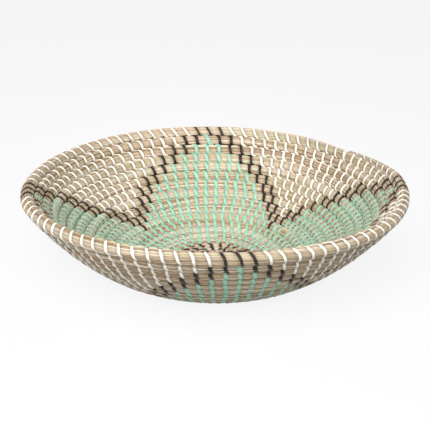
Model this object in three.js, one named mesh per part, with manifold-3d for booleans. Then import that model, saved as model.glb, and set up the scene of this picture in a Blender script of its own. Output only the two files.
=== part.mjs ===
// A shallow coiled basket: one long seagrass bundle is wound in a spiral from the middle of the floor to the
// rim, and flat strips in three colours bind each row to the row before it. The strips draw a four-pointed mint
// star with a black edge on a white field, the same inside and out. Millimetres, +Z up, standing on z = 0.

import * as THREE from "three";
import { mergeVertices } from "three/addons/utils/BufferGeometryUtils.js";
import Module from "manifold-3d";

// Driving dimensions
const RIM_DIAMETER = 400; // across the outside of the rim row, where it runs level
const BASKET_HEIGHT = 101; // from the table to the top of the seagrass there
const FLOOR_DIAMETER = 112; // the ring that it stands on, where the wall begins to rise
const FLOOR_KICK = 10; // the middle of the floor is pushed up this far above that ring
const ROW_PITCH = 12; // least distance from one row to the next, along the wall
const STRIP_WIDTH = 2.8;
const STRIP_THICKNESS = 0.6;
const STRIP_CLEARANCE = 0.6; // on each side of a strip that passes between two rows

// How the bundle is wound, in turns and shares of its own thickness
const CLIMB_TURN = 0.25; // part of each turn in which the bundle climbs to the next row
const CLIMB_MIDDLE = 0.055; // where the climb is half done, past +X
const TIGHTEST_CURL = 1; // radius of the first row, in row pitches
const START_TAPER_TURN = 0.75; // the first turn swells from a thin tip over this much of a turn
const THIN_START = 0.35; // the tip in the middle of the floor
const END_PAST_CLIMB = 0.06; // the bundle ends on the rim this much past the middle of the climb
const END_TAPER_TURN = 0.08; // it thins to a tip over this much of a turn
const THIN_END = 0.15; // the tip on the rim
const FOOT_WEAR = 0.1; // the ring is worn flat below by this part of the bundle's diameter

// How the strips are stitched
const STAR_POINTS = 4;
const STITCHES_TIP_TO_VALLEY = 10; // stitches along a row, from the middle of a point to the next valley
const RIM_STITCHES_TIP_TO_VALLEY = 11; // the same along the rim row, which is the longest
const ROSETTE_ROWS = 3; // innermost rows, bound in black
const BOUND_ROSETTE_ROWS = 2; // of these, the rows that the stitch lines reach

const SIDES = 6;
const FULL_TURN = Math.PI * 2;
const FLAT_TO_CORNER = 1 / Math.cos(Math.PI / SIDES);

// A hexagonal bundle whose flats face the rows on either side, with room between for one strip
const bundleFlat = (ROW_PITCH - STRIP_THICKNESS) / 2 - STRIP_CLEARANCE;
const bundleCorner = bundleFlat * FLAT_TO_CORNER;
const footWear = FOOT_WEAR * 2 * bundleCorner;
const floorRowHeight = bundleCorner - footWear;

// The bowl's profile, through the rows' middles. The floor is pushed up in the middle by two equal parabolas,
// one bent each way, so the basket stands on a ring. From there a third parabola runs up to the rim.
const floorRadius = FLOOR_DIAMETER / 2;
const rimRadius = RIM_DIAMETER / 2 - bundleCorner;
const rimRise = BASKET_HEIGHT - bundleCorner - floorRowHeight;
const steepness = rimRise / (rimRadius - floorRadius) ** 2;
const kickBend = (2 * FLOOR_KICK) / floorRadius ** 2;

function riseAt(radius) {
  if (radius > floorRadius) return steepness * (radius - floorRadius) ** 2;
  if (radius > floorRadius / 2) return kickBend * (floorRadius - radius) ** 2;
  return FLOOR_KICK - kickBend * radius ** 2;
}

function slopeAt(radius) {
  if (radius > floorRadius) return Math.atan(2 * steepness * (radius - floorRadius));
  return -Math.atan(2 * kickBend * Math.min(radius, floorRadius - radius));
}

// Length along a parabola, from where it is level
function parabolaLength(run, bend) {
  const lean = 2 * bend * run;
  return (run * Math.hypot(1, lean)) / 2 + Math.asinh(lean) / (4 * bend);
}

// Length along the profile, from the basket's axis out to a radius
function profileLength(radius) {
  if (radius < floorRadius / 2) return parabolaLength(radius, kickBend);
  const kickLength = 2 * parabolaLength(floorRadius / 2, kickBend);
  if (radius < floorRadius) return kickLength - parabolaLength(floorRadius - radius, kickBend);
  return kickLength + parabolaLength(radius - floorRadius, steepness);
}

const NEAR_ENOUGH = 1e-6;

function radiusAtLength(length) {
  let low = 0;
  let high = length;
  while (high - low > NEAR_ENOUGH) {
    const middle = (low + high) / 2;
    if (profileLength(middle) < length) low = middle;
    else high = middle;
  }
  return low;
}

// The bundle's path. A place along it is counted in turns from the middle of the floor, and whole turns lie on
// +X. In one stretch of every turn the bundle climbs to the next row. Elsewhere each row runs level. The first
// row always lies in the same place on the floor, and the rows share out the way from there to the rim.
const firstLength = TIGHTEST_CURL * ROW_PITCH;
const wallLength = profileLength(rimRadius) - firstLength;
const rowCount = 1 + Math.floor(wallLength / ROW_PITCH);
const rowStep = wallLength / (rowCount - 1);
const startTurn = CLIMB_MIDDLE;
const endTurn = rowCount + CLIMB_MIDDLE + END_PAST_CLIMB;

function rowsClimbed(turn) {
  const past = turn - CLIMB_MIDDLE;
  const nearest = Math.round(past);
  return nearest - 0.5 + THREE.MathUtils.clamp((past - nearest) / CLIMB_TURN, -0.5, 0.5);
}

// The bundle's thickness at a place, as a share of the full one
function thickness(turn) {
  const swelling = THIN_START + ((1 - THIN_START) * (turn - startTurn)) / START_TAPER_TURN;
  const thinning = THIN_END + ((1 - THIN_END) * (endTurn - turn)) / END_TAPER_TURN;
  return Math.min(1, swelling, thinning);
}

// The six corners of the bundle at a place, grown by a margin, from the outer crest round over the rim side.
// The thin end of the bundle settles down onto the row under it.
function bundleCorners(turn, margin) {
  const share = thickness(turn);
  const settled = turn > rowCount ? (1 - share) * bundleFlat : 0;
  const radius = radiusAtLength(firstLength + rowsClimbed(turn) * rowStep - settled);
  const slope = slopeAt(radius);
  const reach = (share * bundleFlat + margin) * FLAT_TO_CORNER;
  return Array.from({ length: SIDES }, (_, corner) => {
    const angle = (corner * FULL_TURN) / SIDES + slope;
    const outward = radius + reach * Math.sin(angle);
    const height = floorRowHeight + riseAt(radius) - reach * Math.cos(angle);
    const around = turn * FULL_TURN;
    return new THREE.Vector3(outward * Math.cos(around), outward * Math.sin(around), height);
  });
}

// The bundle is straight between these places. Wide rows have more of them, so that every row looks round.
const STEPS_BY_RADIUS = [
  { upTo: RIM_DIAMETER / 4, steps: 16 },
  { upTo: Infinity, steps: 24 },
];

const bends = [startTurn];
for (let row = 0; row <= rowCount; row++) {
  const radius = radiusAtLength(firstLength + row * rowStep);
  const { steps } = STEPS_BY_RADIUS.find((band) => radius < band.upTo);
  for (let step = 0; step < steps; step++) {
    const turn = row + (step + 0.5) / steps;
    if (turn > startTurn && turn < endTurn) bends.push(turn);
  }
}
bends.push(endTurn);

// The straight stretch that holds a place
function stretchAt(turn) {
  const next = bends.findIndex((bend) => bend >= turn);
  const to = bends[Math.max(1, next)];
  const from = bends[Math.max(1, next) - 1];
  return { from, to, share: (turn - from) / (to - from) };
}

// One corner of the straight-sided bundle, at any place along it
function cornerAt(turn, corner, margin) {
  const { from, to, share } = stretchAt(turn);
  return bundleCorners(from, margin)[corner].lerp(bundleCorners(to, margin)[corner], share);
}

// A closed tube through rings of points, with flat ends. Each ring runs anticlockwise, seen from the start.
function tubeThroughRings(rings) {
  const sides = rings[0].length;
  const faces = [];
  for (let ring = 0; ring + 1 < rings.length; ring++) {
    for (let side = 0; side < sides; side++) {
      const a = ring * sides + side;
      const b = ring * sides + ((side + 1) % sides);
      faces.push(a, a + sides, b, b, a + sides, b + sides);
    }
  }
  const last = (rings.length - 1) * sides;
  for (let side = 1; side + 1 < sides; side++) {
    faces.push(0, side, side + 1);
    faces.push(last, last + side + 1, last + side);
  }
  return new THREE.BufferGeometry().setFromPoints(rings.flat()).setIndex(faces);
}

// Least distance between the points of neighbouring turns of a winding, each point with its count of turns
const NEXT_TURN = { from: 0.5, to: 1.5 };

function leastGap(points) {
  let least = Infinity;
  points.forEach((a) => {
    points.forEach((b) => {
      const apart = b.turn - a.turn;
      if (apart > NEXT_TURN.from && apart < NEXT_TURN.to) {
        least = Math.min(least, a.point.distanceTo(b.point));
      }
    });
  });
  return least;
}

function printGap(name, points) {
  console.log(`${name}: least gap to itself ${leastGap(points).toFixed(2)} mm`);
}

// Cutting and joining
const wasm = await Module();
wasm.setup();

function solidOf(geometry) {
  const points = geometry.clone();
  points.deleteAttribute("normal");
  points.deleteAttribute("uv");
  const merged = mergeVertices(points);
  const mesh = new wasm.Mesh({
    numProp: 3,
    vertProperties: merged.getAttribute("position").array,
    triVerts: new Uint32Array(merged.index.array),
  });
  return new wasm.Manifold(mesh);
}

function geometryOf(solid) {
  const { vertProperties, triVerts } = solid.getMesh();
  const geometry = new THREE.BufferGeometry();
  geometry.setAttribute("position", new THREE.BufferAttribute(vertProperties, 3));
  geometry.setIndex(new THREE.BufferAttribute(triVerts, 1));
  return geometry;
}

const table = solidOf(
  new THREE.BoxGeometry(RIM_DIAMETER, RIM_DIAMETER, 2 * ROW_PITCH).translate(0, 0, -ROW_PITCH),
);

function standOnTable(geometry) {
  return geometryOf(solidOf(geometry).subtract(table));
}

// Materials
function finish(color, roughness) {
  return new THREE.MeshStandardMaterial({ color, roughness, metalness: 0 });
}

const seagrass = () => finish(0xc8ad84, 0.9);
const STRIP_FINISHES = {
  white: () => finish(0xf8f3e9, 0.45),
  black: () => finish(0x2e2521, 0.45),
  mint: () => finish(0x8fe0c6, 0.45),
};

function mesh(name, geometry, material) {
  geometry.computeVertexNormals();
  const made = new THREE.Mesh(geometry, material);
  made.name = name;
  return made;
}

// The seagrass coil
const GAP_SAMPLES = 4; // points along each straight stretch

function seagrassCoil() {
  const samples = [];
  bends.slice(1).forEach((to, index) => {
    for (let sample = 0; sample < GAP_SAMPLES; sample++) {
      const turn = THREE.MathUtils.lerp(bends[index], to, (sample + 0.5) / GAP_SAMPLES);
      for (let corner = 0; corner < SIDES; corner++) {
        samples.push({ turn, point: cornerAt(turn, corner, 0) });
      }
    }
  });
  printGap("seagrass_coil", samples);
  const rings = bends.map((turn) => bundleCorners(turn, 0));
  return mesh("seagrass_coil", standOnTable(tubeThroughRings(rings)), seagrass());
}

// The star: on each row a point is one stitch wider each way than on the row above it, and its two outermost
// stitches on each side are black. Rows count from the rim, stitches from the middle of the nearest point.
function stripColour(row, stitch, tipToValley) {
  const perPoint = 2 * tipToValley;
  const lap = THREE.MathUtils.euclideanModulo(stitch, perPoint);
  const fromTip = Math.min(lap, perPoint - lap);
  if (row > rowCount - ROSETTE_ROWS) return "black";
  if (fromTip > row) return "white";
  return fromTip > row - 2 ? "black" : "mint";
}

// Neighbours of one colour, gathered into runs
function colourRuns(items, colourOf) {
  const runs = [];
  items.forEach((item) => {
    const colour = colourOf(item);
    const run = runs.at(-1);
    if (run && run.colour === colour) run.items.push(item);
    else runs.push({ colour, items: [item] });
  });
  return runs;
}

// The rim's lashing. A strip climbs inside the rim row, crosses over the top, comes down outside and passes
// between the rim row and the row below, one stitch further on each time round.
const rimStitches = STAR_POINTS * 2 * RIM_STITCHES_TIP_TO_VALLEY;

// The strip meets the bundle's corners in their order backwards, from the inner one towards the floor
function lashedCorner(step) {
  return THREE.MathUtils.euclideanModulo(SIDES - 2 - step, SIDES);
}

function stripSection(turn, corner, halfWidthTurn) {
  const under = STRIP_CLEARANCE;
  const over = STRIP_CLEARANCE + STRIP_THICKNESS;
  const before = turn - halfWidthTurn;
  const after = turn + halfWidthTurn;
  return [
    cornerAt(before, corner, under),
    cornerAt(before, corner, over),
    cornerAt(after, corner, over),
    cornerAt(after, corner, under),
  ];
}

function lashing(name, run) {
  const turnPerMillimetre = 1 / (FULL_TURN * rimRadius);
  const halfWidthTurn = (STRIP_WIDTH * turnPerMillimetre) / 2;
  const endMargin = ((STRIP_WIDTH + STRIP_CLEARANCE) * turnPerMillimetre) / 2;
  const from = (run.items[0] - 0.5) / rimStitches + endMargin;
  const to = (run.items.at(-1) + 0.5) / rimStitches - endMargin;
  const steps = run.items.length * SIDES;
  const rings = [];
  const samples = [];
  for (let step = 0; step < steps; step++) {
    const turn = THREE.MathUtils.lerp(from, to, step / (steps - 1));
    const ring = stripSection(turn, lashedCorner(step), halfWidthTurn);
    rings.push(ring);
    ring.forEach((point) => samples.push({ turn: step / SIDES, point }));
  }
  printGap(name, samples);
  return mesh(name, tubeThroughRings(rings), STRIP_FINISHES[run.colour]());
}

function rimLashings() {
  const group = new THREE.Group();
  const first = Math.ceil((endTurn - 1) * rimStitches + 0.5);
  const last = Math.floor(endTurn * rimStitches - 0.5);
  const stitches = Array.from({ length: last - first + 1 }, (_, index) => first + index);
  const made = {};
  const colourOf = (stitch) => stripColour(1, stitch, RIM_STITCHES_TIP_TO_VALLEY);
  colourRuns(stitches, colourOf).forEach((run) => {
    made[run.colour] = (made[run.colour] ?? 0) + 1;
    group.add(lashing(`rim_lashing_${run.colour}_${made[run.colour]}`, run));
  });
  return group;
}

// Stitch lines. Stitches of neighbouring rows meet in the grooves, so that down each radial line they make a
// chain of loops, one round each row. A line runs down the middle of every point and every valley.
const stitchLineCount = 2 * STAR_POINTS;

// The bundle's corners where an upright plane beside a radial line cuts it, as distance out and height
function cornersInPlane(turn, sideways, margin) {
  const around = turn * FULL_TURN;
  const out = new THREE.Vector3(Math.cos(around), Math.sin(around), 0);
  const along = new THREE.Vector3(-out.y, out.x, 0);
  const { from, to } = stretchAt(turn);
  const before = bundleCorners(from, margin);
  const after = bundleCorners(to, margin);
  return before.map((point, corner) => {
    const past = sideways - point.dot(along);
    const ahead = after[corner].dot(along) - point.dot(along);
    const cut = point.lerp(after[corner], past / ahead);
    return new THREE.Vector2(cut.dot(out), cut.z);
  });
}

// One face of a chain of loops: its outline zigzags over the rows' crests and dips into the grooves between
function chainFace(turns, sideways) {
  const wrapped = turns.map((turn) => cornersInPlane(turn, sideways, STRIP_CLEARANCE + STRIP_THICKNESS));
  const holes = turns.map((turn) => cornersInPlane(turn, sideways, STRIP_CLEARANCE).reverse());
  const inner = [];
  const outer = [];
  wrapped.forEach(([outerCrest, , , innerCrest, floorInside, floorOutside], row) => {
    inner.push(innerCrest);
    outer.unshift(outerCrest);
    if (row + 1 === wrapped.length) return;
    const [, rimOutside, rimInside] = wrapped[row + 1];
    inner.push(floorInside.clone().lerp(rimInside, 0.5));
    outer.unshift(floorOutside.clone().lerp(rimOutside, 0.5));
  });
  const [, topOutside, topInside] = wrapped[0];
  const [, , , , bottomInside, bottomOutside] = wrapped.at(-1);
  return { outline: [topOutside, topInside, ...inner, bottomInside, bottomOutside, ...outer], holes };
}

// A solid between two faces of the same pattern, which stand one strip width apart
function chainGeometry(turns, sideways) {
  const around = turns[0] * FULL_TURN;
  const faces = [sideways - STRIP_WIDTH / 2, sideways + STRIP_WIDTH / 2].map((offset) => {
    const { outline, holes } = chainFace(turns, offset);
    return { offset, loops: [outline, ...holes] };
  });
  const points = faces.flatMap(({ offset, loops }) =>
    loops.flat().map((p) => new THREE.Vector3(p.x, offset, p.y)),
  );
  const [outline, ...holes] = faces[0].loops;
  const perFace = points.length / 2;
  const triangles = THREE.ShapeUtils.triangulateShape(outline, holes);
  const indices = triangles.flatMap(([a, b, c]) => [a, b, c, perFace + a, perFace + c, perFace + b]);
  let start = 0;
  faces[0].loops.forEach((loop) => {
    loop.forEach((_, index) => {
      const a = start + index;
      const b = start + ((index + 1) % loop.length);
      indices.push(a, perFace + a, b, b, perFace + a, perFace + b);
    });
    start += loop.length;
  });
  return new THREE.BufferGeometry().setFromPoints(points).setIndex(indices).rotateZ(around);
}

function stitchLine(line, counts) {
  const group = new THREE.Group();
  const stitch = line * STITCHES_TIP_TO_VALLEY;
  const place = line / stitchLineCount;
  const rimTurn = Math.floor(endTurn - place) + place;
  const lastRow = rowCount - ROSETTE_ROWS + BOUND_ROSETTE_ROWS;
  const rows = Array.from({ length: lastRow - 1 }, (_, index) => index + 2);
  const colourOf = (row) => stripColour(row, stitch, STITCHES_TIP_TO_VALLEY);
  colourRuns(rows, colourOf).forEach((run, index) => {
    const turns = run.items.map((row) => rimTurn - (row - 1));
    const sideways = ((index % 2) - 0.5) * (STRIP_WIDTH + STRIP_CLEARANCE);
    const part = run.items[0] > rowCount - ROSETTE_ROWS ? "rosette" : "star";
    const kind = `${part}_stitches_${run.colour}`;
    counts[kind] = (counts[kind] ?? 0) + 1;
    const geometry = standOnTable(chainGeometry(turns, sideways));
    group.add(mesh(`${kind}_${counts[kind]}`, geometry, STRIP_FINISHES[run.colour]()));
  });
  return group;
}

function stitchLines() {
  const group = new THREE.Group();
  const counts = {};
  for (let line = 0; line < stitchLineCount; line++) group.add(stitchLine(line, counts));
  return group;
}

const basket = new THREE.Group();
basket.add(seagrassCoil(), rimLashings(), stitchLines());

export default basket;
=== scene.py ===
# %% [markdown]
# # A coiled seagrass basket
#
# The real basket is one long bundle of dry seagrass. It is wound in a spiral that starts in the middle of the
# floor, which is pushed up a little, and then leans outwards and up to the rim. Flat plastic strip in three
# colours is sewn over every row and under the row before it, and the colours draw a mint star with a black
# edge on a white field.
#
# The model is made in the same order: the spiral that everything follows, the bundle, one stitch that is then
# copied along the rows, the finishes, and last a studio to look at it in. Lengths are in millimetres until a
# point is placed, because that is how a maker would measure them. Blender itself works in metres.

import math

import bpy
import numpy as np
from mathutils import Matrix, Vector


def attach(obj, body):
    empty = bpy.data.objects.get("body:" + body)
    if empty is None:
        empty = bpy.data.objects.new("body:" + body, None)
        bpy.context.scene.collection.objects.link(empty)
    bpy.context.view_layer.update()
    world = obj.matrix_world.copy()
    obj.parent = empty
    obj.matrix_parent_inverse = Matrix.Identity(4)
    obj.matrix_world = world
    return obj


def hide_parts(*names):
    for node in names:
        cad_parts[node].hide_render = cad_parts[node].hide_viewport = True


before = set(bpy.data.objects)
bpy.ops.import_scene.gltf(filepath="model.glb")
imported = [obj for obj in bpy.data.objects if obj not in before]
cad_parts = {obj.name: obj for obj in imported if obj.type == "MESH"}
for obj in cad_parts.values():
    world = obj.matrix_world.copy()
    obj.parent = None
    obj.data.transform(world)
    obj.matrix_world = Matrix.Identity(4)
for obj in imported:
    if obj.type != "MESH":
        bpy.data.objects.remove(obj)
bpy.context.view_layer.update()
bpy.ops.object.select_all(action="DESELECT")

# %% [markdown]
# ## The shape of the bowl
#
# Cut through its middle, the bowl is a wall that grows steeper towards the rim, and a floor that is pushed up
# in the middle so that the basket stands steadily on a ring. A parabola has the sweep of the wall, and needs
# one number once the ring, the rim and the height are known. Two more, bent opposite ways, make the pushed-up
# middle. The rows lie side by side on this line at equal steps along it, so its length is measured first, in
# small pieces.

# %% Draw the profile through the middle of the rows
RIM_DIAMETER = 400.0
BASKET_HEIGHT = 101.0
FLOOR_DIAMETER = 112.0  # of the ring that it stands on
FLOOR_KICK = 10.0  # that the middle of the floor is pushed up
ROW_PITCH = 12.0
BUNDLE_REACH = 5.89  # from the middle of the bundle to its crest
FOOT_WEAR = 0.1  # part of the bundle that is worn flat under the ring

floor_row_height = BUNDLE_REACH * (1 - 2 * FOOT_WEAR)
floor_radius = FLOOR_DIAMETER / 2
rim_radius = RIM_DIAMETER / 2 - BUNDLE_REACH
rim_rise = BASKET_HEIGHT - BUNDLE_REACH - floor_row_height
steepness = rim_rise / (rim_radius - floor_radius) ** 2
kick_bend = 2 * FLOOR_KICK / floor_radius**2


def rise_at(radius):
    wall = steepness * (radius - floor_radius) ** 2
    by_the_ring = kick_bend * (floor_radius - radius) ** 2
    in_the_middle = FLOOR_KICK - kick_bend * radius**2
    floor = np.where(radius > floor_radius / 2, by_the_ring, in_the_middle)
    return np.where(radius > floor_radius, wall, floor)


def slope_at(radius):
    wall = 2 * steepness * (radius - floor_radius)
    floor = -2 * kick_bend * np.minimum(radius, floor_radius - radius)
    return np.arctan(np.where(radius > floor_radius, wall, floor))


profile_radius = np.linspace(0, RIM_DIAMETER / 2, 4001)
profile_steps = np.hypot(np.diff(profile_radius), np.diff(rise_at(profile_radius)))
profile_length = np.concatenate([[0], np.cumsum(profile_steps)])
rim_length = np.interp(rim_radius, profile_radius, profile_length)
print("from the middle of the floor to the rim, along the wall:", round(rim_length, 1), "mm")

# %% [markdown]
# ## The way the bundle is wound
#
# A place on the bundle is counted in turns from the middle of the floor, and whole turns lie on +X. The maker
# keeps each row level and lets the bundle climb to the next row in one quarter of the turn, on the right in
# the photograph. At the start the bundle is a little thinner. Its end stands a little proud of the rim, just
# past the last climb, where it thins out and dies away on the row under it. The bowl is not quite even
# either: the rim is a touch low at the left and right.
#
# One function, wind, does all the placing. It takes how far along the bundle a point is, which way round the
# bundle it lies (0 on the outside of the bowl, a quarter turn towards the rim, half a turn inside the bowl),
# and how far it is from the bundle's middle.

# %% Count the rows
CLIMB_TURN = 0.25
CLIMB_MIDDLE = 0.035  # of a turn past +X, where the climb is half done
TIGHTEST_CURL = 0.8  # least radius of the first row, in row pitches
START_TAPER_TURN = 0.75  # part of a turn in which it swells to its full thickness
THIN_START = 0.85  # part of the full thickness, at the very start
END_PAST_CLIMB = 0.06  # of a turn from the middle of the last climb to the end
END_TAPER_TURN = 0.08
THIN_END = 0.15
BUNDLE_FLAT = 5.1  # half the room that a row leaves for the bundle, between two strips

row_count = 1 + math.floor((rim_length - TIGHTEST_CURL * ROW_PITCH) / ROW_PITCH)
first_length = rim_length - (row_count - 1) * ROW_PITCH
start_turn = CLIMB_MIDDLE
end_turn = row_count + CLIMB_MIDDLE + END_PAST_CLIMB
print(row_count, "rows, and the bundle ends after", round(end_turn, 3), "turns")

# %% Place a point on the wound bundle
FULL_TURN = 2 * np.pi
MM = 0.001
RIM_WAVE = 1.8  # mm that the hand-made rim is low at the sides, and high at the back and front


def thickness(turn):
    swelling = THIN_START + (1 - THIN_START) * (turn - start_turn) / START_TAPER_TURN
    thinning = THIN_END + (1 - THIN_END) * (end_turn - turn) / END_TAPER_TURN
    return np.clip(np.minimum(swelling, thinning), THIN_END, 1)


def row_radius(turn):
    past = turn - CLIMB_MIDDLE
    nearest = np.round(past)
    climbed = nearest - 0.5 + np.clip((past - nearest) / CLIMB_TURN, -0.5, 0.5)
    settled = np.where(turn > row_count, (1 - thickness(turn)) * BUNDLE_FLAT, 0)
    return np.interp(first_length + climbed * ROW_PITCH - settled, profile_length, profile_radius)


def wind(turn, angle, reach, lowest):
    radius = row_radius(turn)
    lean = angle + slope_at(radius)
    around = turn * FULL_TURN
    wave = RIM_WAVE * (radius / rim_radius) ** 2 * np.cos(2 * around)
    outward = radius + reach * np.sin(lean)
    height = floor_row_height + rise_at(radius) - wave - reach * np.cos(lean)
    spots = [outward * np.cos(around), outward * np.sin(around), np.maximum(height, lowest)]
    return np.column_stack(spots) * MM


rim_mark = wind(np.array([row_count - 0.5]), np.array([0.0]), np.array([0.0]), 0.0)
print("the rim row's middle, at the back:", rim_mark.round(4))

# %% [markdown]
# ## The way of a stitch
#
# Each stitch comes up the outside of its row, goes through to the inside and runs a little way along in the
# groove above. Then it comes down over the row at a slant, runs along in the groove below and goes back
# through to the outside, where the next one starts. On the rim no row lies above, so the strip crosses the
# open top in one long slant.
#
# It is written here as a list of stops, from the groove below to the foot of the outside. Each stop has four
# numbers: which way round the bundle, how far it is lifted off the bundle, how far along the row as a part of
# the distance to the next stitch, and which way the strip's face is turned. In a groove the strip lies flat
# across both rows, so there it is lifted and turned. The bundle is drawn in by the strip, so the same stops
# say where it is thin.

# %% Lay out the stops of a stitch
ROW_STITCH_STOPS = [
    (256, 0.6, -0.40, 215), (252, 0.8, -0.28, 196), (248, 0.6, -0.14, 202), (230, 0.2, -0.07, 222),
    (204, 0.0, -0.03, 204), (180, 0.0, 0.00, 180), (156, 0.0, 0.03, 156), (134, 0.2, 0.07, 142),
    (114, 0.9, 0.15, 165), (110, 1.0, 0.29, 176), (108, 0.8, 0.40, 160), (96, 0.2, 0.40, 104),
    (66, 0.7, 0.39, 52), (32, 0.2, 0.44, 28), (0, 0.0, 0.50, 0), (-34, 0.3, 0.55, -28),
    (-70, 1.5, 0.60, -46), (-104, 0.4, 0.62, -104),
]
RIM_STITCH_STOPS = [
    (256, 0.6, -0.40, 215), (252, 0.8, -0.32, 198), (248, 0.5, -0.23, 206), (228, 0.0, -0.16, 226),
    (204, 0.0, -0.09, 204), (180, 0.0, 0.00, 180), (156, 0.0, 0.08, 156), (134, 0.0, 0.15, 134),
    (114, 0.0, 0.21, 114), (96, 0.0, 0.27, 96), (78, 0.0, 0.33, 78), (60, 0.0, 0.38, 60),
    (42, 0.0, 0.42, 42), (22, 0.0, 0.46, 22), (0, 0.0, 0.50, 0), (-26, 0.0, 0.53, -26),
    (-64, 0.0, 0.56, -64), (-104, 0.0, 0.58, -104),
]


def stitch_stops(row):
    way, lift, along, facing = np.array(RIM_STITCH_STOPS if row == 1 else ROW_STITCH_STOPS).T
    return np.radians(way), lift, along, np.radians(facing)


print("a stitch has", len(ROW_STITCH_STOPS), "stops")

# %% [markdown]
# ## How many stitches a row has, and where they are
#
# The rim and the rows next to it have 88 stitches, the lower wall rows have 80, and on the floor each row has
# as many as fit at about 9 mm. They are set by eye. Below the rim they crowd together on the left and right,
# at the back they are a little wider spaced than at the front, and from row to row their lines drift a little
# round the bowl. What is set by eye has to be undone again later, to find out which stitch a point of the
# bundle lies under.

# %% Count the stitches of each row
WALL_STITCHES = [88] * 7 + [80] * 4  # counted from the rim inwards
WALL_ROWS = len(WALL_STITCHES)
FLOOR_STITCH_SPACING = 8.7
STAR_POINTS = 4  # every row has as many stitches to each of them


def level_radius(row):
    return float(row_radius(np.array(row_count - row + 0.5)))


def stitches_in(row):
    if row <= WALL_ROWS:
        return WALL_STITCHES[row - 1]
    return STAR_POINTS * round(FULL_TURN * level_radius(row) / (STAR_POINTS * FLOOR_STITCH_SPACING))


stitches_by_row = np.array([0] + [stitches_in(row) for row in range(1, row_count + 1)])
print("stitches by row, from the rim:", stitches_by_row[1:].tolist())

# %% Set the stitches by eye
CROWDED = 3.2 / 360  # of a turn, that they are drawn towards the left and right
CROWDING_ROWS = 4  # below the rim, over which that sets in
UNEVEN = 3.4 / 360  # of a turn, that those on the left and right are set nearer the front
FRONT_LAG = 1.35 / 360  # of a turn, that the sides are ahead of the back, and the front of the sides
ROW_DRIFT = 0.28 / 360  # of a turn, from a row to the next one inwards


def unevenness(place):
    return -UNEVEN * np.cos(place * FULL_TURN) + FRONT_LAG * (1 - np.sin(place * FULL_TURN))


def crowding(place, row):
    return CROWDED * np.clip((row - 1) / CROWDING_ROWS, 0, 1) * np.sin(2 * place * FULL_TURN)


def set_by_eye(even_place, row):
    crowded = even_place - crowding(even_place, row)
    return crowded + unevenness(crowded) + ROW_DRIFT * (row - 1)


def even_again(place, row):
    start = place - ROW_DRIFT * (row - 1)
    crowded = start - unevenness(start - unevenness(start))
    return crowded + crowding(crowded + crowding(crowded, row), row)


def row_at(turn):
    return np.clip(1 + np.floor(end_turn - turn), 1, row_count).astype(int)


print("the stitch at a quarter turn is set at", round(float(set_by_eye(0.25, 1)), 4))

# %% [markdown]
# ## The seagrass bundle
#
# The bundle is a few dozen dry blades laid side by side. Up close it is a rope with lengthwise ridges, one
# for each blade, that wander a little. Where a strip crosses, it is drawn in, and between two strips it
# swells like a cushion. Its colour carries painted shade under and beside the strips, in the grooves between
# the rows, and more lightly on the outside of the bowl, which gets less light. A curve with a round bevel
# would give a smooth hose, so a flat grid is used instead: one way along the bundle, one way round it, with a
# row of points on each blade and one in each crease between two. The grid is rolled up and wound by moving
# its points. Then the seam is merged and the ends are closed.
#
# The whole coil would be too many triangles for one mesh, so it is wound in four lengths that butt together.

# %% Measure the bundle along its middle
RING_STEP = 2.4  # mm from one ring of points to the next

turn_marks = np.linspace(start_turn, end_turn, 8001)
mark_radius = row_radius((turn_marks[1:] + turn_marks[:-1]) / 2)
length_marks = np.concatenate([[0], np.cumsum(np.diff(turn_marks) * FULL_TURN * mark_radius)])
print("the bundle is", round(length_marks[-1] / 1000, 2), "m long")

# %% Shape the blades
BLADES = 24
BLADE_RELIEF = 0.3  # mm from a crease up to the top of a blade, half of it
BLADE_STRAY = 0.42  # mm that a blade stands proud or lies low
STRAY_LENGTH = 45.0  # mm over which that changes
BUNDLE_SWELL = 5.9  # mm from the middle, half way between two strips
DRAWN_IN = 1.0  # mm less under a strip
SQUARENESS = 3.0  # 2 would be round

SLOW_WANDER, QUICK_WANDER = 0.3, 0.22  # radians that the blades wander round the bundle, to and fro
SLOW_LENGTH, QUICK_LENGTH = 52.0, 31.0  # mm for each radian of those waves
QUICK_START = 1.3  # radians that the quick wave is ahead
LAY_LENGTH = 900.0  # mm in which the blades turn one radian round the bundle

random = np.random.default_rng(11)
stray = random.uniform(-1, 1, (BLADES, int(length_marks[-1] / STRAY_LENGTH) + 3))


def blade_height(point, length):
    blade = (point // 2) % BLADES
    mark = length / STRAY_LENGTH
    before = np.floor(mark).astype(int)
    share = mark - before
    share = share * share * (3 - 2 * share)
    wander = stray[blade, before] * (1 - share) + stray[blade, before + 1] * share
    on_top = point % 2 == 0
    return np.where(on_top, BLADE_RELIEF + BLADE_STRAY * wander, -BLADE_RELIEF)


def twist(length):
    slow = SLOW_WANDER * np.sin(length / SLOW_LENGTH)
    quick = QUICK_WANDER * np.sin(length / QUICK_LENGTH + QUICK_START)
    return slow + quick + length / LAY_LENGTH


print("the bundle has", BLADES, "blades, and", stray.size, "places where they stray")


# %% Draw the bundle in under the strips
def crossing(row, angle):
    """How far along the row the strip crosses the bundle, as a part of the distance to the next stitch."""
    way, _, along, _ = stitch_stops(row)
    lap = np.mod(angle - way[-1], FULL_TURN) + way[-1]
    return np.interp(lap, way[::-1], along[::-1])


def under_strip(turn, angle):
    """1 under a strip, 0 half way to the next."""
    row = row_at(turn)
    crossed = np.where(row == 1, crossing(1, angle), crossing(2, angle))
    off = even_again(np.mod(turn, 1), row) * stitches_by_row[row] - crossed
    return ((1 + np.cos(off * FULL_TURN)) / 2) ** 2


def squeezed(angle):
    """How much further the bundle reaches where the rows beside it and the strips press it square."""
    powers = np.abs(np.cos(angle)) ** SQUARENESS + np.abs(np.sin(angle)) ** SQUARENESS
    return powers ** (-1 / SQUARENESS)


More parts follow.
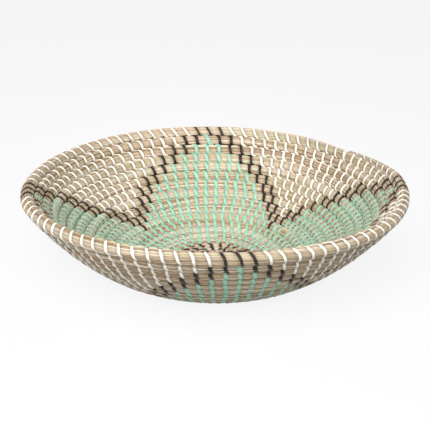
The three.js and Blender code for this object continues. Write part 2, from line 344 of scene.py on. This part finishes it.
def bundle_reach(turn, angle, point, length):
    drawn = DRAWN_IN * under_strip(turn, angle)
    return thickness(turn) * (squeezed(angle) * (BUNDLE_SWELL - drawn) + blade_height(point, length))


print("at its corners a squeezed bundle reaches", round(float(squeezed(FULL_TURN / 8)), 3), "times as far")

# %% Darken it where little light gets in
# Painted shade: the bundle's colour is darkened in the grooves between rows, under and beside the strips, and
# on the outside of the bowl, where less light falls.
GROOVE_EDGE = 0.75  # of the way from the crest of the bundle to its side
STRIP_SHADE_SHARE = 0.7  # of the full darkness, under a strip
OUTSIDE_SHADE_SHARE = 0.3  # of the full darkness, on the outside


def beside_row(turn, angle):
    """1 down in the groove beside another row, 0 out of it. Nothing lies above the rim row."""
    sideways = np.where(row_at(turn) == 1, -np.sin(angle), np.abs(np.sin(angle)))
    return np.clip((sideways - GROOVE_EDGE) / (1 - GROOVE_EDGE), 0, 1)


def shaded_share(turn, angle):
    """How much painted shade the bundle gets: 1 in a groove, less under a strip and on the outside, else 0.
    """
    painted_shade = STRIP_SHADE_SHARE * under_strip(turn, angle)
    outside_shade = OUTSIDE_SHADE_SHARE * np.clip(np.cos(angle), 0, 1)
    return np.maximum(np.maximum(painted_shade, beside_row(turn, angle)), outside_shade)


mid_wall = np.array([row_count - WALL_ROWS / 2])
print("the outside is dark by", shaded_share(mid_wall, np.array([0.0])).round(2))

# %% Get ready to shape meshes
MERGE_DISTANCE = 0.002  # mm, within which points of a seam are one
SMOOTH_ANGLE = math.radians(75)  # edges that bend more than this stay sharp


def bare_piece(name):
    made = bpy.context.object
    made.name = name
    made.data.name = name
    return made


def points_of(piece):
    spots = np.empty(len(piece.data.vertices) * 3)
    piece.data.vertices.foreach_get("co", spots)
    return spots.reshape(-1, 3)


def close_mesh(piece):
    bpy.ops.object.mode_set(mode="EDIT")
    bpy.ops.mesh.select_all(action="SELECT")
    bpy.ops.mesh.remove_doubles(threshold=MERGE_DISTANCE * MM)
    bpy.ops.mesh.fill_holes(sides=0)
    bpy.ops.mesh.select_all(action="SELECT")
    bpy.ops.mesh.normals_make_consistent(inside=False)
    bpy.ops.object.mode_set(mode="OBJECT")
    bpy.ops.object.shade_smooth_by_angle(angle=SMOOTH_ANGLE)


# %% Wind the bundle in four lengths
SEAGRASS_LOWEST = 0.3  # mm above the table: the strips under the floor touch it first
ROWS_IN_A_LENGTH = 4  # on the wall


def wind_bundle(name, first_turn, last_turn):
    bpy.ops.object.select_all(action="DESELECT")
    start, end = np.interp([first_turn, last_turn], turn_marks, length_marks)
    rings = round((end - start) / RING_STEP)
    bpy.ops.mesh.primitive_grid_add(x_subdivisions=rings, y_subdivisions=2 * BLADES, size=1)
    bundle = bare_piece(name)
    flat = points_of(bundle) + 0.5
    length = start + flat[:, 0] * (end - start)
    point = np.round(flat[:, 1] * 2 * BLADES).astype(int) % (2 * BLADES)
    turn = np.interp(length, length_marks, turn_marks)
    angle = point * FULL_TURN / (2 * BLADES) + twist(length)
    reach = bundle_reach(turn, angle, point, length)
    spots = wind(turn, angle, reach, SEAGRASS_LOWEST)
    bundle.data.vertices.foreach_set("co", spots.ravel())
    # The painted shade goes into an attribute that the seagrass finish reads.
    painted_shade = bundle.data.attributes.new("painted_shade", "FLOAT", "POINT")
    painted_shade.data.foreach_set("value", shaded_share(turn, angle))
    uv = bundle.data.uv_layers.active.data
    flat_uv = np.empty(len(uv) * 2)
    uv.foreach_get("uv", flat_uv)
    flat_uv[0::2] = (start + flat_uv[0::2] * (end - start)) * MM
    uv.foreach_set("uv", flat_uv)
    close_mesh(bundle)
    print(name, "has", len(bundle.data.polygons), "faces")
    return bundle


floor_end, lower_end, upper_end = [row_count - lengths * ROWS_IN_A_LENGTH for lengths in (3, 2, 1)]
seagrass_pieces = [
    wind_bundle("seagrass_floor_rows", start_turn, floor_end),
    wind_bundle("seagrass_lower_wall_rows", floor_end, lower_end),
    wind_bundle("seagrass_upper_wall_rows", lower_end, upper_end),
    wind_bundle("seagrass_rim_rows", upper_end, end_turn),
]

# %% [markdown]
# Before the first row, the maker folds the tip of the bundle into a tight little knot, which fills the middle
# of the floor. It is pressed flat and drawn in where the first stitches pull, so a ball is flattened and
# dimpled.

# %% Fold the start into a knot
KNOT_RADIUS = 7.6
KNOT_FLATNESS = 0.6  # of its width, its height
DIMPLE_RADIUS = 2.5
DIMPLE_DEPTH = 1.6

bpy.ops.object.select_all(action="DESELECT")
knot_height = (floor_row_height + FLOOR_KICK) * MM
bpy.ops.mesh.primitive_uv_sphere_add(
    segments=24, ring_count=12, radius=KNOT_RADIUS * MM, location=(0, 0, knot_height)
)
knot = bare_piece("seagrass_start_knot")
knot.scale.z = KNOT_FLATNESS
bpy.ops.object.transform_apply(location=True, scale=True)
for element in [*knot.data.polygons, *knot.data.edges]:
    element.select = False
for vertex in knot.data.vertices:
    in_dimple = math.hypot(vertex.co.x, vertex.co.y) < DIMPLE_RADIUS * MM
    vertex.select = in_dimple and vertex.co.z > knot_height
bpy.ops.object.mode_set(mode="EDIT")
bpy.ops.mesh.select_mode(type="VERT")
bpy.ops.transform.translate(value=(0, 0, -DIMPLE_DEPTH * MM))
bpy.ops.object.mode_set(mode="OBJECT")
bpy.ops.object.shade_smooth()
seagrass_pieces.append(knot)
print(knot.name, "has", len(knot.data.polygons), "faces")

# %% [markdown]
# ## One stitch
#
# The strip is a soft ribbon of plastic, about 3 mm wide, that puckers into a plump little cord where it is
# pulled tight. One length of it is modelled flat, one unit to the millimetre: a narrow grid with as many
# steps as a stitch has stops, made solid by a modifier, and then drawn in and lowered along its upper edges.
# It stays simple, because more than a thousand copies of it are sewn round the rows.

# %% Model one flat strip
STRIP_WIDTH = 2.9
STRIP_THICKNESS = 2.3

bpy.ops.object.select_all(action="DESELECT")
bpy.ops.mesh.primitive_grid_add(x_subdivisions=len(ROW_STITCH_STOPS) - 1, y_subdivisions=2, size=1)
strip = bare_piece("strip")
bpy.ops.object.mode_set(mode="EDIT")
bpy.ops.mesh.select_all(action="SELECT")
bpy.ops.transform.resize(value=(1, STRIP_WIDTH, 1))
bpy.ops.object.mode_set(mode="OBJECT")
thicken = strip.modifiers.new("thickness", "SOLIDIFY")
thicken.thickness = STRIP_THICKNESS
thicken.offset = 1
bpy.ops.object.modifier_apply(modifier=thicken.name)
print("a strip", STRIP_WIDTH, "mm wide and", STRIP_THICKNESS, "mm thick")

# %% Round its upper edges
EDGE_DRAWN_IN = 0.76  # of the width, what is left on top
EDGE_LOWERED = 0.55

for element in [*strip.data.polygons, *strip.data.edges]:
    element.select = False
for vertex in strip.data.vertices:
    vertex.select = vertex.co.z > STRIP_THICKNESS / 2 and abs(vertex.co.y) > STRIP_WIDTH / 4
bpy.ops.object.mode_set(mode="EDIT")
bpy.ops.mesh.select_mode(type="VERT")
bpy.ops.transform.resize(value=(1, EDGE_DRAWN_IN, 1))
bpy.ops.transform.translate(value=(0, 0, -EDGE_LOWERED))
bpy.ops.object.mode_set(mode="OBJECT")
bpy.ops.object.shade_smooth_by_angle(angle=SMOOTH_ANGLE)
strip.data.attributes.new("tint", "FLOAT", "POINT")
strip_points = points_of(strip)
print("the strip has", len(strip.data.polygons), "faces")

# %% [markdown]
# ## Sewing the star
#
# The star follows one simple count. On each row, a point of the star is about one stitch wider each way than
# on the row above, and its two outermost stitches on each side are black. What lies between the points is
# white, and the three innermost rows are black. Every stitch is a copy of the flat strip whose points are
# wound along its stops, and because it is sewn by hand each one is set a little differently. Below the rim
# the strip is pulled less tight and lies wider, the soft mint strip more than the others, and it lies widest
# in the rosette.

# %% Choose a stitch's colour
ROSETTE_ROWS = 3
EDGE_STITCHES = 2  # black ones, on each side of a point
STAR_STITCHES = 80  # to a turn, where a point grows by just one stitch each way on every row


def in_rosette(row):
    return row > row_count - ROSETTE_ROWS


def half_point(row, point):
    """Stitches from the middle of a point to its edge. Points 0 and 2 are on the crowded sides."""
    wide = row / STAR_STITCHES
    more = crowding(wide, row) if point % 2 == 0 else -crowding(wide, row)
    return round((wide + more) * stitches_by_row[row])


def strip_colour(row, stitch):
    if in_rosette(row):
        return "black"
    if row > WALL_ROWS:
        return "mint"
    per_point = stitches_by_row[row] // STAR_POINTS
    point, lap = divmod(stitch, per_point)
    inside = max(half_point(row, point) - lap, half_point(row, point + 1) - (per_point - lap))
    if inside < 0:
        return "white"
    return "black" if inside < EDGE_STITCHES else "mint"


print("the middle of a point on the fifth row is", strip_colour(5, 0), "and of a valley", strip_colour(5, 11))

# %% Sew one stitch
STRIP_BED = 3.95  # mm from the bundle's middle to the underside of a strip
BED_UNEVEN = 0.15  # mm that it may lie higher
WIDTH_UNEVEN = 0.12  # part of its width that it may be wider or narrower
SET_OFF = 0.3  # mm along the row that it is usually off its place
SET_ASKEW = 0.35  # mm that its two ends are usually off, opposite ways

strip_along, strip_across, strip_up = strip_points.T
strip_lowest = (STRIP_THICKNESS - strip_up) / 2


def over_strip(values):
    """Values at the stops of a stitch, carried over to every point of the strip."""
    stop = (strip_along + 0.5) * (len(values) - 1)
    return np.interp(stop, np.arange(len(values)), values)


def lay_strip(row, turn, advance, slack):
    """Wind the strip's points along the stops of one stitch."""
    way, lift, along, facing = stitch_stops(row)
    bed = over_strip(squeezed(way) * (STRIP_BED + random.uniform(0, BED_UNEVEN)) + lift)
    turning = np.gradient(way) * STRIP_BED
    going = np.gradient(along * advance)
    pace = np.hypot(turning, going)
    angle, facing = over_strip(way), over_strip(facing)
    side = strip_across * slack * random.uniform(1 - WIDTH_UNEVEN, 1 + WIDTH_UNEVEN)
    rise = side * over_strip(going / pace)
    slip = over_strip(along * advance) + side * over_strip(turning / pace)
    slip = slip + random.normal(0, SET_OFF) + random.normal(0, SET_ASKEW) * np.sin(angle)
    place = turn + slip / (FULL_TURN * row_radius(np.array(turn)))
    beside = bed * np.sin(angle) - rise * np.cos(facing) + strip_up * np.sin(facing)
    outward = bed * np.cos(angle) + rise * np.sin(facing) + strip_up * np.cos(facing)
    reach = thickness(place) * np.hypot(beside, outward)
    return wind(place, np.arctan2(beside, outward), reach, strip_lowest)


def sew_stitch(row, turn, advance, slack):
    spots = lay_strip(row, turn, advance, slack)
    stitch = strip.copy()
    stitch.data = strip.data.copy()
    bpy.context.collection.objects.link(stitch)
    stitch.data.vertices.foreach_set("co", spots.ravel())
    tint = np.full(len(spots), random.uniform(0, 1))
    stitch.data.attributes["tint"].data.foreach_set("value", tint)
    return stitch


print("a stitch is wound from", len(strip_points), "points")

# %% Sew every row
RIM_SLACK = 1.08  # how much wider the strip lies than it was slit
WALL_SLACK = {"white": 1.18, "black": 1.5, "mint": 1.68}
ROSETTE_SLACK = 1.9


def part_and_slack(row, colour):
    if row == 1:
        return "rim_lashing", RIM_SLACK
    if in_rosette(row):
        return "rosette", ROSETTE_SLACK
    return "star", WALL_SLACK[colour]


sewn = {}
for row in range(1, row_count + 1):
    count = stitches_by_row[row]
    places = set_by_eye(np.arange(count + 1) / count, row)
    for number in range(count):
        place = places[number] % 1
        advance = FULL_TURN * level_radius(row) * (places[number + 1] - places[number])
        turn = math.floor(end_turn - place) + place - (row - 1)
        colour = strip_colour(row, number)
        part, slack = part_and_slack(row, colour)
        sewn.setdefault((part, colour), []).append(sew_stitch(row, turn, advance, slack))
print({" ".join(kind): len(stitches) for kind, stitches in sewn.items()})


# %% Join the stitches of one part and colour
def join_stitches(name, stitches):
    bpy.ops.object.select_all(action="DESELECT")
    for stitch in stitches:
        stitch.select_set(True)
    bpy.context.view_layer.objects.active = stitches[0]
    bpy.ops.object.join()
    joined = bare_piece(name)
    bpy.ops.object.mode_set(mode="EDIT")
    bpy.ops.mesh.select_all(action="SELECT")
    bpy.ops.mesh.normals_make_consistent(inside=False)
    bpy.ops.object.mode_set(mode="OBJECT")
    print(name, "has", len(joined.data.polygons), "faces")
    return joined


strip_pieces = {}
for (part, colour), stitches in sewn.items():
    strip_pieces[part, colour] = join_stitches(f"{part}_{colour}", stitches)
bpy.data.objects.remove(strip)

# %% [markdown]
# ## Finishes
#
# Colours are given as they look on a screen and turned into the linear values that the shader works in. One
# small function adds a node, sets it and links it.


# %% Helpers for finishes
def screen_colour(code):
    values = [int(code[start : start + 2], 16) / 255 for start in (1, 3, 5)]
    linear = [v / 12.92 if v <= 0.04045 else ((v + 0.055) / 1.055) ** 2.4 for v in values]
    return (*linear, 1.0)


def add_node(tree, kind, settings, inputs):
    node = tree.nodes.new(kind)
    for name, value in settings.items():
        setattr(node, name, value)
    for socket, value in inputs.items():
        if isinstance(value, bpy.types.NodeSocket):
            tree.links.new(value, node.inputs[socket])
        else:
            node.inputs[socket].default_value = value
    return node


def new_finish(name):
    finish = bpy.data.materials.new(name)
    finish.use_nodes = True
    tree = finish.node_tree
    return finish, tree, tree.nodes["Principled BSDF"]


# %% [markdown]
# ## Dry seagrass
#
# Dried seagrass is matte and straw-coloured, but no two blades are alike: some are greener, some pinkish,
# some brown, and each is streaked along its length. The bundle's own UV map knows where every point is: u
# runs along the bundle in metres, v once round it. So each blade gets a tone of its own, which changes where
# the next blade takes over, with fine streaks on top and painted shade down in the creases between blades.
# The attribute that was set as the bundle was wound adds painted shade where little light gets in.

# %% Give each blade a tone
BLADE_LENGTH = 0.19  # m before another blade takes over
BLADE_TONES = ["#ac9170", "#ccb48f", "#dac6a6", "#e4d2b6", "#d8b8a4", "#ccc29e", "#ecdec8"]

seagrass, tree, shader = new_finish("dry_seagrass")
uv = add_node(tree, "ShaderNodeUVMap", {"uv_map": "UVMap"}, {})
parts = add_node(tree, "ShaderNodeSeparateXYZ", {}, {0: uv.outputs[0]})
round_count = add_node(
    tree, "ShaderNodeMath", {"operation": "MULTIPLY_ADD"}, {0: parts.outputs[1], 1: BLADES, 2: 0.5}
)
whole = add_node(tree, "ShaderNodeMath", {"operation": "FLOOR"}, {0: round_count.outputs[0]})
blade = add_node(tree, "ShaderNodeMath", {"operation": "MODULO"}, {0: whole.outputs[0], 1: BLADES})
shift = add_node(tree, "ShaderNodeTexWhiteNoise", {"noise_dimensions": "1D"}, {"W": blade.outputs[0]})
run = add_node(
    tree,
    "ShaderNodeMath",
    {"operation": "MULTIPLY_ADD"},
    {0: parts.outputs[0], 1: 1 / BLADE_LENGTH, 2: shift.outputs[0]},
)
run_whole = add_node(tree, "ShaderNodeMath", {"operation": "FLOOR"}, {0: run.outputs[0]})
key = add_node(tree, "ShaderNodeCombineXYZ", {}, {0: blade.outputs[0], 1: run_whole.outputs[0]})
lot = add_node(tree, "ShaderNodeTexWhiteNoise", {"noise_dimensions": "2D"}, {"Vector": key.outputs[0]})
tones = add_node(tree, "ShaderNodeValToRGB", {}, {0: lot.outputs["Value"]})
ramp = tones.color_ramp
ramp.interpolation = "CONSTANT"
while len(ramp.elements) < len(BLADE_TONES):
    ramp.elements.new(1.0)
for index, code in enumerate(BLADE_TONES):
    ramp.elements[index].position = index / len(BLADE_TONES)
    ramp.elements[index].color = screen_colour(code)
print(seagrass.name, "has", len(BLADE_TONES), "tones")

# %% Streak the blades
STREAK_LENGTH = 0.02  # m
STREAKS_ROUND = BLADES * 5  # about 0.3 mm apart
STREAK_CONTRAST = {"From Min": 0.3, "From Max": 0.7, "To Min": 0.74, "To Max": 1.16}

stretch = add_node(
    tree, "ShaderNodeMapping", {}, {0: uv.outputs[0], "Scale": (1 / STREAK_LENGTH, STREAKS_ROUND, 1)}
)
streaks = add_node(
    tree, "ShaderNodeTexNoise", {}, {"Vector": stretch.outputs[0], "Scale": 1.0, "Detail": 3.0}
)
streak_tone = add_node(tree, "ShaderNodeMapRange", {}, {"Value": streaks.outputs[0], **STREAK_CONTRAST})
streaked = add_node(
    tree,
    "ShaderNodeVectorMath",
    {"operation": "SCALE"},
    {0: tones.outputs[0], "Scale": streak_tone.outputs[0]},
)
print("a streak is", STREAK_LENGTH * 1000, "mm long, and", STREAKS_ROUND, "of them lie round the bundle")

# %% Paint shade into the creases and where little light gets in
CREASE_WIDTH = 0.3  # of a blade's width
CREASE_TONE = 0.4  # part of the light that a crease keeps
DARKEST_SHADE_TONE = 0.22  # part of the light that the darkest groove keeps

# Painted shade: the creases between blades are darkened in the colour, where shade falls between them.
across = add_node(tree, "ShaderNodeMath", {"operation": "FRACT"}, {0: round_count.outputs[0]})
from_edge = add_node(tree, "ShaderNodeMath", {"operation": "PINGPONG"}, {0: across.outputs[0], 1: 0.5})
crease = add_node(
    tree,
    "ShaderNodeMapRange",
    {"interpolation_type": "SMOOTHSTEP"},
    {"Value": from_edge.outputs[0], "From Max": CREASE_WIDTH, "To Min": CREASE_TONE},
)
shaded = add_node(
    tree,
    "ShaderNodeVectorMath",
    {"operation": "SCALE"},
    {0: streaked.outputs[0], "Scale": crease.outputs[0]},
)
# Painted shade: the attribute set while winding darkens the colour, most down in the grooves.
painted_shade = add_node(tree, "ShaderNodeAttribute", {"attribute_name": "painted_shade"}, {})
shade_factor = add_node(
    tree,
    "ShaderNodeMapRange",
    {},
    {"Value": painted_shade.outputs["Fac"], "To Min": 1.0, "To Max": DARKEST_SHADE_TONE},
)
dimmed = add_node(
    tree, "ShaderNodeVectorMath", {"operation": "SCALE"}, {0: shaded.outputs[0], "Scale": shade_factor.outputs[0]}
)
tree.links.new(dimmed.outputs[0], shader.inputs["Base Color"])
print("the darkest groove keeps", DARKEST_SHADE_TONE, "of its light")

# %% Finish the seagrass
STREAK_RELIEF = 0.0003  # m
SEAGRASS_ROUGHNESS = 0.72

relief = add_node(
    tree,
    "ShaderNodeBump",
    {},
    {"Strength": 0.5, "Distance": STREAK_RELIEF, "Height": streaks.outputs[0]},
)
tree.links.new(relief.outputs[0], shader.inputs["Normal"])
shader.inputs["Roughness"].default_value = SEAGRASS_ROUGHNESS
for piece in seagrass_pieces:
    piece.data.materials.clear()
    piece.data.materials.append(seagrass)
print(seagrass.name, "is on", len(seagrass_pieces), "lengths of the bundle")

# %% [markdown]
# ## Plastic strip
#
# The strip is slit from soft plastic sheet, so it is evenly coloured with a satin gloss and faint lines along
# its length from the slitting. Each stitch carries a number between 0 and 1, its tint, and the finish uses it
# to make some stitches a little paler or duller than others.

# %% Make the three strip finishes
STRIP_COLOURS = {
    "white": ("#ece6d9", "#f8f4ea"),
    "black": ("#17100c", "#261b15"),
    "mint": ("#87c1a8", "#a6d2bd"),
}
SLITTING_LINES = 9  # across a strip, about 0.3 mm apart
LINES_IN_A_STITCH = 4  # one after another, along it
SLITTING_RELIEF = 0.0002  # m
STRIP_ROUGHNESS = 0.45
STRIP_SPECULAR = 0.3


def strip_finish(name, dull, fresh):
    finish, tree, shader = new_finish(name)
    tint = add_node(tree, "ShaderNodeAttribute", {"attribute_name": "tint"}, {})
    uv = add_node(tree, "ShaderNodeUVMap", {"uv_map": "UVMap"}, {})
    stretch = add_node(
        tree, "ShaderNodeMapping", {}, {0: uv.outputs[0], "Scale": (LINES_IN_A_STITCH, SLITTING_LINES, 1)}
    )
    lines = add_node(
        tree, "ShaderNodeTexNoise", {}, {"Vector": stretch.outputs[0], "Scale": 1.0, "Detail": 2.0}
    )
    freshness = add_node(
        tree, "ShaderNodeMix", {"data_type": "FLOAT"}, {0: 0.5, 2: lines.outputs[0], 3: tint.outputs["Fac"]}
    )
    colour = add_node(
        tree,
        "ShaderNodeMix",
        {"data_type": "RGBA"},
        {0: freshness.outputs[0], 6: screen_colour(dull), 7: screen_colour(fresh)},
    )
    tree.links.new(colour.outputs[2], shader.inputs["Base Color"])
    relief = add_node(
        tree,
        "ShaderNodeBump",
        {},
        {"Strength": 0.3, "Distance": SLITTING_RELIEF, "Height": lines.outputs[0]},
    )
    tree.links.new(relief.outputs[0], shader.inputs["Normal"])
    shader.inputs["Roughness"].default_value = STRIP_ROUGHNESS
    shader.inputs["Specular IOR Level"].default_value = STRIP_SPECULAR
    return finish


finishes = {}
for colour, (dull, fresh) in STRIP_COLOURS.items():
    finishes[colour] = strip_finish(f"{colour}_plastic_strip", dull, fresh)
for (part, colour), piece in strip_pieces.items():
    piece.data.materials.clear()
    piece.data.materials.append(finishes[colour])
print("finished", len(strip_pieces), "parts of the stitching")

# %% [markdown]
# ## Tie the pieces to the CAD frame
#
# Nothing on the basket moves, so every piece rides on the one body. Each stands for the plain CAD solids of
# the same thing, which are then not shown.

# %% Ride and replace
for piece in seagrass_pieces:
    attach(piece, "root")
    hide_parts("seagrass_coil")
CAD_PREFIXES = {"rim_lashing": "rim_lashing", "star": "star_stitches", "rosette": "rosette_stitches"}
for (part, colour), piece in strip_pieces.items():
    prefix = f"{CAD_PREFIXES[part]}_{colour}_"
    nodes = [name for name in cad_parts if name.startswith(prefix)]
    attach(piece, "root")
    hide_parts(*nodes)
    print(piece.name, "stands for", len(nodes), "CAD nodes")

# %% [markdown]
# ## The studio
#
# The photograph was taken on white, with the light in front of the basket and above it. The floor is a plain
# pale sheet and the world behind it is white. Both look white to the camera but give the basket less light
# than white would, because its outside is in shade below the rim.

# %% Lay the floor
FLOOR_SIZE = 16  # m
FLOOR_DROP = 0.0003  # m below the basket, so that no two faces lie in one plane
PAPER_SEEN, PAPER_GIVING_LIGHT = "#fafafa", "#b8b8b8"
PAPER_GLOW = 0.88  # part of what the camera sees that no shadow darkens
PAPER_ROUGHNESS = 0.9


def seen_directly(tree):
    """1 for what the camera sees, straight or in a reflection, and 0 for light on its way to the basket."""
    rays = add_node(tree, "ShaderNodeLightPath", {}, {})
    kinds = {0: rays.outputs["Is Camera Ray"], 1: rays.outputs["Is Glossy Ray"]}
    return add_node(tree, "ShaderNodeMath", {"operation": "MAXIMUM"}, kinds).outputs[0]


bpy.ops.object.select_all(action="DESELECT")
bpy.ops.mesh.primitive_plane_add(size=FLOOR_SIZE, location=(0, 0, -FLOOR_DROP))
floor = bare_piece("studio_floor")
floor_finish, tree, shader = new_finish("white_paper")
shader.inputs["Roughness"].default_value = PAPER_ROUGHNESS
shader.inputs["Specular IOR Level"].default_value = 0.0
seen = seen_directly(tree)
paper = add_node(
    tree,
    "ShaderNodeMix",
    {"data_type": "RGBA"},
    {0: seen, 6: screen_colour(PAPER_GIVING_LIGHT), 7: screen_colour(PAPER_SEEN)},
)
tree.links.new(paper.outputs[2], shader.inputs["Base Color"])
share = add_node(tree, "ShaderNodeMath", {"operation": "MULTIPLY"}, {0: seen, 1: PAPER_GLOW})
white = add_node(tree, "ShaderNodeEmission", {}, {"Color": (1, 1, 1, 1), "Strength": 1.0})
both = add_node(
    tree, "ShaderNodeMixShader", {}, {0: share.outputs[0], 1: shader.outputs[0], 2: white.outputs[0]}
)
tree.links.new(both.outputs[0], tree.nodes["Material Output"].inputs[0])
floor.data.materials.append(floor_finish)
print(floor.name, "is", FLOOR_SIZE, "m wide")

# %% Light the world
WORLD_LEVEL = 0.17  # of the white that the camera sees

world = bpy.data.worlds.new("studio_world")
bpy.context.scene.world = world
world.use_nodes = True
tree = world.node_tree
level = add_node(
    tree, "ShaderNodeMapRange", {}, {"Value": seen_directly(tree), "To Min": WORLD_LEVEL, "To Max": 1.0}
)
background = tree.nodes["Background"]
background.inputs["Color"].default_value = (1, 1, 1, 1)
tree.links.new(level.outputs[0], background.inputs["Strength"])
print("the world gives the basket", WORLD_LEVEL, "of its light")

# %% [markdown]
# A broad soft light hangs in front of the basket, a little to the left. The far wall is the brightest part of
# the photograph, so a narrow light shines on it over the near rim.

# %% Hang the lights
SOFTBOX_PLACE, SOFTBOX_TARGET = (-0.3, -1.2, 1.2), (0, 0, 0.05)  # m
SOFTBOX_POWER = 34  # watts
SOFTBOX_SIZE = 1.4  # m
NARROW_PLACE, NARROW_TARGET = (0, -1.2, 0.9), (0, 0.17, 0.075)  # m
NARROW_POWER = 55  # watts
NARROW_ANGLE = math.radians(16)
NARROW_BLEND = 0.8  # part of the angle over which it fades
NARROW_SOFTNESS = 0.15  # m, its own radius


def hang_light(name, kind, place, target, power):
    bpy.ops.object.light_add(type=kind, location=place)
    light = bpy.context.object
    light.name = name
    light.data.energy = power
    aim = Vector(target) - light.location
    light.rotation_mode = "QUATERNION"
    light.rotation_quaternion = aim.to_track_quat("-Z", "Y")
    return light


softbox = hang_light("softbox", "AREA", SOFTBOX_PLACE, SOFTBOX_TARGET, SOFTBOX_POWER)
softbox.data.shape = "DISK"
softbox.data.size = SOFTBOX_SIZE
narrow = hang_light("far_wall_light", "SPOT", NARROW_PLACE, NARROW_TARGET, NARROW_POWER)
narrow.data.spot_size = NARROW_ANGLE
narrow.data.spot_blend = NARROW_BLEND
narrow.data.shadow_soft_size = NARROW_SOFTNESS
print(softbox.name, "and", narrow.name, "hang in front of the basket")

# %% [markdown]
# ## The camera
#
# The rim is a circle, so the ellipse that it makes in the photograph gives the height of the camera, and the
# rows' spacing near and far gives its distance. The camera sits a little below 20 degrees and leans slightly
# to one side.

# %% Set up the camera
IMAGE_SIZE = 430  # pixels
FOCAL_PIXELS = 927.2
SENSOR_WIDTH = 36  # mm
CAMERA_AZIMUTH = -92.4  # degrees, as are the other angles
CAMERA_ELEVATION = 19.7
CAMERA_DISTANCE = 0.9786  # m from the middle of the rim
AIM_BELOW = 1.82
AIM_RIGHT = 0.07
CAMERA_ROLL = 0.88

rim_middle = Vector((0, 0, (floor_row_height + rim_rise) * MM))
azimuth = math.radians(CAMERA_AZIMUTH)
elevation = math.radians(CAMERA_ELEVATION)
level_away = math.cos(elevation)
away = Vector((math.cos(azimuth) * level_away, math.sin(azimuth) * level_away, math.sin(elevation)))
bpy.ops.object.camera_add()
camera = bpy.context.object
camera.data.sensor_width = SENSOR_WIDTH
camera.data.lens = SENSOR_WIDTH * FOCAL_PIXELS / IMAGE_SIZE
heading = Matrix.Rotation(math.radians(CAMERA_AZIMUTH + 90 - AIM_RIGHT), 4, "Z")
pitch = Matrix.Rotation(math.radians(90 - CAMERA_ELEVATION - AIM_BELOW), 4, "X")
roll = Matrix.Rotation(math.radians(CAMERA_ROLL), 4, "Z")
standpoint = Matrix.Translation(rim_middle + away * CAMERA_DISTANCE)
camera.matrix_world = standpoint @ heading @ pitch @ roll
bpy.context.scene.camera = camera
bpy.context.scene.view_settings.view_transform = "Standard"
print("the camera stands at", [round(value, 3) for value in camera.location])
